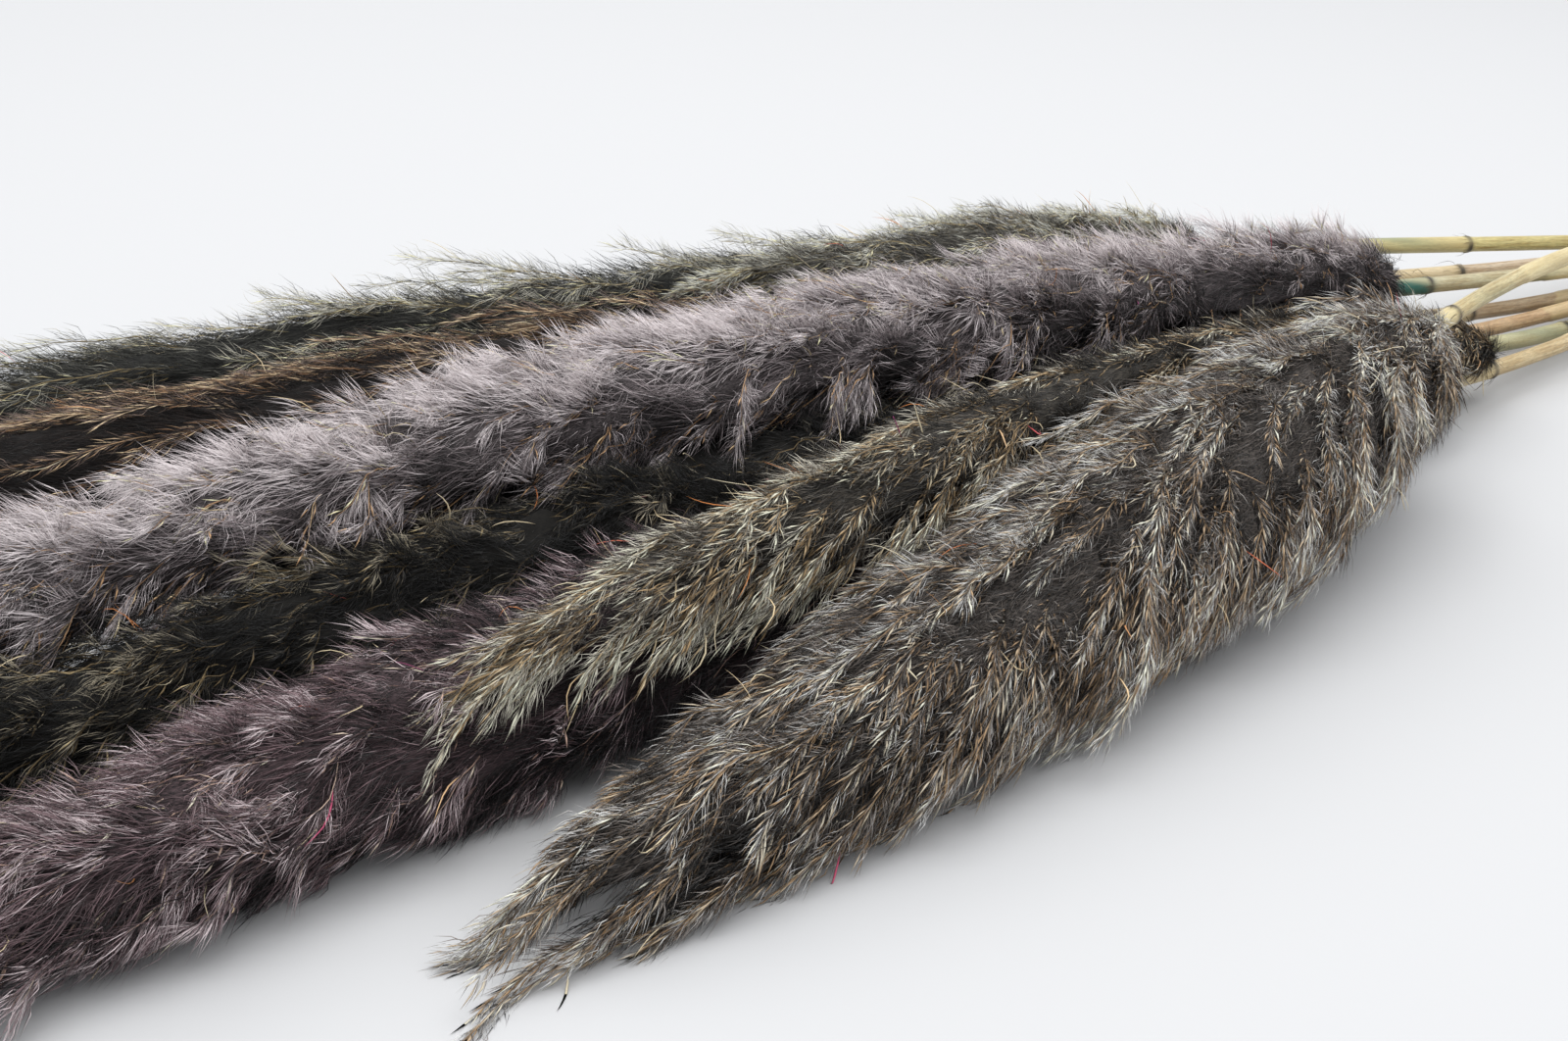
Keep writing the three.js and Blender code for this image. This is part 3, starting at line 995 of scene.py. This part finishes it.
def grow_plume(name, look, rng):
    body = Body(f"plume_{name}")
    body.find_open_skin()
    paths = tassel_paths(body, look, rng)
    spikelets = Spikelets(body, look, paths, rng)
    down, chaff, strays, branches = Strands(), Strands(FLAT, 0.4), Strands(FLAT), Strands()
    grow_hair(spikelets, look, rng, down)
    grow_fur(body, look, rng, down)
    grow_glumes(spikelets, look, rng, chaff)
    grow_strays(spikelets, rng, strays)
    grow_branches(paths, rng, branches)
    pieces = []
    hair = strand_material(f"{name} down", look["down"], look["root"], STRAND_ROUGHNESS, 0.1)
    husk = strand_material(f"{name} chaff", look["chaff"], CHAFF_ROOT, STRAND_ROUGHNESS, 0.05)
    for strands, label, material in (
        (down, "down", hair),
        (chaff, "chaff", husk),
        (strays, "strays", stray_material(f"{name} strays")),
        (branches, "branches", husk),
    ):
        for piece in strands.build(f"{name}_{label}"):
            piece.data.materials.append(material)
            pieces.append(piece)
    core = plume_core(name, body, look, rng)
    core.data.materials.append(core_material(f"{name} core", look["down"]))
    for piece in [core, *pieces]:
        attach(piece, "root")
        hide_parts(f"plume_{name}")


# ---- Growing a stem ----

def grow_stem(name, stem, rng):
    """A culm with swollen nodes, wrapped sheaths with ragged ends, stains and a cut end."""
    line = Body(f"stem_{name}", degree=7)
    rows = int(line.length / STEM_RING_GAP)
    spine = stem_spine(line, rows)
    ahead, side, up = frames_along(spine)
    run = (run_along(spine) - STEM_INTO_PLUME)[:, None]  # counted from the plume's base
    turns = (np.arange(STEM_SIDES) * FULL_TURN / STEM_SIDES)[None, :]
    marks = stem_nodes(stem, float(run[-1, 0]), rng)
    size, node, sheath = stem_surface(run, turns, marks, rng)
    piece = new_object(f"{name}_stem", *tube(spine, size, side, up))
    stain = stem_stain(stem, run, turns)
    sheath = SHEATH_TINTING * np.clip(sheath, 0, 1)
    paint(piece, node=np.clip(node, 0, 1), sheath=sheath, stain=stain)
    grain = np.stack(np.broadcast_arrays(run * 30, np.cos(turns) * 2, np.sin(turns) * 2), axis=-1)
    layer = piece.data.attributes.new("grain", "FLOAT_VECTOR", "POINT")
    layer.data.foreach_set("vector", grain.astype(np.float32).ravel())
    lay_out(piece, tube_map(rows, STEM_SIDES))
    piece.data.materials.append(stem_material(f"{name} stem", stem["colour"]))
    wisps = stem_wisps(name, spine, ahead, side, up, run[:, 0], marks, rng)
    for part in [piece, *wisps]:
        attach(part, "root")
        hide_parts(f"stem_{name}")


def stem_spine(line, rows):
    """The centre line from a little inside the plume to the cut end."""
    place = np.linspace(1 + STEM_INTO_PLUME / line.length, 0, rows)
    spine = line.centre_at(np.clip(place, 0, 1))
    tangent = unit(line.centre_at(1.0) - line.centre_at(0.97))
    return spine + np.maximum(place - 1, 0)[:, None] * line.length * tangent


def frames_along(spine):
    """Directions along, across and upwards for each point of a line that is never vertical."""
    ahead = unit(np.gradient(spine, axis=0))
    side = unit(np.cross(ahead, np.array([0.0, 0.0, 1.0])))
    return ahead, side, np.cross(side, ahead)


def stem_nodes(stem, end, rng):
    """Distances of the nodes from the plume's base: the first as given, then per internode."""
    marks = [stem["node"] * MM]
    while marks[-1] + INTERNODE < end - 15 * MM:
        marks.append(marks[-1] + INTERNODE * rng.uniform(0.85, 1.15))
    return [mark for mark in marks if mark < end - 10 * MM]


def stem_surface(run, turns, marks, rng):
    """Radius, darkness of the node rings and sheath cover, for each point of the stem."""
    size = STEM_RADIUS * (0.97 + 0.02 * np.sin(run * 23 + 1.7 * turns))
    size = size * (1 - 0.25 * np.clip(-run / STEM_INTO_PLUME, 0, 1))
    node = np.zeros_like(size)
    sheath = np.zeros_like(size)
    for mark in marks:
        size += NODE_SWELLING * bell(run, mark, NODE_SWELLING_WIDTH)
        ring = bell(run, mark - 1.2 * MM, NODE_RING_WIDTH)
        node += ring * (0.9 + 0.2 * np.sin(3 * turns + mark * 900))
        edge = mark - SHEATH_LENGTH * rng.uniform(0.7, 1.1)
        ragged = 4 * np.sin(turns + mark * 700) + 1.2 * np.sin(5 * turns + mark * 300)
        past_edge = run - edge - ragged * MM
        wrapped = 1 / (1 + np.exp(-past_edge / SHEATH_EDGE)) * (run < mark)
        size += SHEATH_THICKNESS * wrapped
        sheath += wrapped
    return size, node, sheath


def stem_stain(stem, run, turns):
    stain = np.zeros(np.broadcast_shapes(run.shape, turns.shape))
    blotch = 0.65 + 0.35 * np.sin(2 * turns + run * 90)
    for start, end, strength in stem["stains"]:
        middle, half = (start + end) / 2 * MM, (end - start) / 2 * MM
        stain += strength * np.exp(-(((run - middle) / half) ** 4)) * blotch
    return np.clip(stain, 0, 1)


def stem_wisps(name, spine, ahead, side, up, run, marks, rng):
    """Torn fibres of old sheaths at the nodes."""
    fibres = Strands(FLAT)
    count = WISPS_PER_NODE
    for mark in marks:
        row = int(np.argmin(np.abs(run - mark)))
        turn = rng.uniform(0, FULL_TURN, count)
        out = np.cos(turn)[:, None] * side[row] + np.sin(turn)[:, None] * up[row]
        shift = ahead[row] * rng.uniform(-2, 1, (count, 1)) * MM
        at = spine[row] + out * STEM_RADIUS + shift
        toward = np.tile(-ahead[row], (count, 1))
        length = rng.uniform(*WISP_LENGTH, count) * MM
        splay = np.radians(rng.uniform(4, 38, count))
        turn = rng.normal(0, 0.5, count)
        paths = sprout(rng, at, toward, out, length, splay, turn, bend=0.5, steps=5, curl=0.2)
        radius = rng.uniform(*WISP_RADIUS, count) * MM
        fibres.add(paths, radius, rng.uniform(0.1, 0.5, count))
    pieces = fibres.build(f"{name}_sheath_wisps")
    finish = strand_material(f"{name} wisps", WISP_COLOURS, 200, 0.6, 0)
    for piece in pieces:
        piece.data.materials.append(finish)
    return pieces


# ---- Winding the tie ----

def band_outline(low, high):
    """Outside of the CAD band round its middle: angles, and the radius at each."""
    tree, middle = cad_tree("tie"), Vector((low + high) / 2)
    angles = np.arange(TIE_STEPS) * FULL_TURN / TIE_STEPS
    outs = [Vector(out) for out in around(angles)]
    hits = [tree.ray_cast(middle + out * PROBE_REACH, -out)[0] for out in outs]
    return angles, np.array([(hit - middle).length for hit in hits])


def twine_line(low, high):
    """The twine's middle line, its ends tucked under, and the outward direction along it."""
    angles, radii = band_outline(low, high)
    rows = int(TWINE_TURNS * radii.mean() * FULL_TURN / TWINE_RING_GAP)
    turn = np.linspace(0, TWINE_TURNS * FULL_TURN, rows)
    ends = np.clip(np.minimum(turn, turn[-1] - turn) / TWINE_TUCK, 0, 1)
    reach = np.interp(turn, angles, radii, period=FULL_TURN)
    reach -= TWINE_RADIUS + (1 - ends) * TWINE_RADIUS * 1.5
    out = around(turn)
    line = (low + high) / 2 + reach[:, None] * out
    line[:, 0] = lerp(low[0] + TWINE_RADIUS, high[0] - TWINE_RADIUS, np.linspace(0, 1, rows))
    return line, out


def twine_ply(number, middle, side, up, rng):
    rows = len(middle)
    twist = (run_along(middle) / TWINE_LAY + number / TWINE_PLIES) * FULL_TURN
    offset = np.cos(twist)[:, None] * side + np.sin(twist)[:, None] * up
    spine = middle + offset * TWINE_RADIUS * 0.5
    lumps = 1 + 0.06 * rng.normal(0, 1, (rows, 1))
    size = np.full((rows, TWINE_SIDES), TWINE_RADIUS * 0.52) * lumps
    piece = new_object(f"twine_ply_{number + 1}", *tube(spine, size, side, up))
    lay_out(piece, tube_map(rows, TWINE_SIDES))
    return piece


def twine_fibres(middle, ahead, out, rng):
    """Loose fibres that stand off the twine."""
    fuzz = Strands()
    row = rng.integers(5, len(middle) - 5, TWINE_FIBRES)
    splay = np.radians(rng.uniform(20, 80, TWINE_FIBRES))
    at = middle[row] + out[row] * TWINE_RADIUS * 0.7
    length = rng.uniform(*FIBRE_LENGTH, TWINE_FIBRES) * MM
    turn = rng.normal(0, 0.8, TWINE_FIBRES)
    paths = sprout(rng, at, ahead[row], out[row], length, splay, turn, 0.2, steps=5, curl=0.3)
    radius = np.full(TWINE_FIBRES, FIBRE_RADIUS)
    fuzz.add(paths, radius, rng.uniform(0.2, 0.9, TWINE_FIBRES))
    return fuzz.build("twine_fibres")


def wind_twine(rng):
    """Two-ply twine wound round the stems where the CAD band is."""
    low, high = (np.array(corner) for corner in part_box("tie"))
    middle, out = twine_line(low, high)
    ahead = unit(np.gradient(middle, axis=0))
    side = unit(np.cross(ahead, np.array([1.0, 0.0, 0.0])))
    up = np.cross(side, ahead)
    plies = [twine_ply(number, middle, side, up, rng) for number in range(TWINE_PLIES)]
    fibres = twine_fibres(middle, ahead, out, rng)
    jute = jute_material()
    loose = strand_material("jute fibre", FIBRE_COLOURS, 220, 0.8, 0.2)
    for pieces, material in ((plies, jute), (fibres, loose)):
        for piece in pieces:
            piece.data.materials.append(material)
            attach(piece, "root")
            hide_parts("tie")


# ---- Stage ----

def make_floor():
    signs = [(-1, -1, 0), (1, -1, 0), (1, 1, 0), (-1, 1, 0)]
    floor = new_object("floor", np.array(signs) * FLOOR_HALF, range(4), [4])
    material, _, shader = node_material("pale paper", 0.85)
    shader.inputs["Base Color"].default_value = (*FLOOR_COLOUR, 1)
    floor.data.materials.append(material)


def soft_light(name, place, aim, size, power):
    data = bpy.data.lights.new(name, "AREA")
    data.shape = "DISK"
    data.size = size
    data.energy = power
    lamp = put_in_scene(name, data)
    lamp.location = place
    lamp.rotation_euler = (Vector(aim) - Vector(place)).to_track_quat("-Z", "Y").to_euler()


def make_world():
    world = bpy.data.worlds.new("studio")
    world.use_nodes = True
    background = world.node_tree.nodes["Background"]
    background.inputs["Color"].default_value = (*WORLD_COLOUR, 1)
    background.inputs["Strength"].default_value = WORLD_STRENGTH
    bpy.context.scene.world = world


def make_camera():
    low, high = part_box("tie")
    x, y = ((low[axis] + high[axis]) / 2 + CAMERA_FROM_TIE[axis] for axis in (0, 1))
    data = bpy.data.cameras.new("camera")
    data.lens = CAMERA_LENS
    data.sensor_width = SENSOR_WIDTH
    camera = put_in_scene("camera", data)
    camera.location = (x, y, CAMERA_HEIGHT)
    tilt = math.radians(90 - CAMERA_PITCH_DOWN)
    camera.rotation_euler = (tilt, 0, math.radians(CAMERA_TURN))
    bpy.context.scene.camera = camera


# ---- The scene ----

for index, (name, look) in enumerate(LOOKS.items()):
    grow_plume(name, look, np.random.default_rng([SEED, index]))
for index, (name, stem) in enumerate(STEMS.items()):
    grow_stem(name, stem, np.random.default_rng([SEED, STEM_SEED + index]))
wind_twine(np.random.default_rng([SEED, TWINE_SEED]))

make_floor()
for name, (place, aim, size, power) in LIGHTS.items():
    soft_light(name, place, aim, size, power)
make_world()
bpy.context.scene.view_settings.view_transform = "Standard"
make_camera()
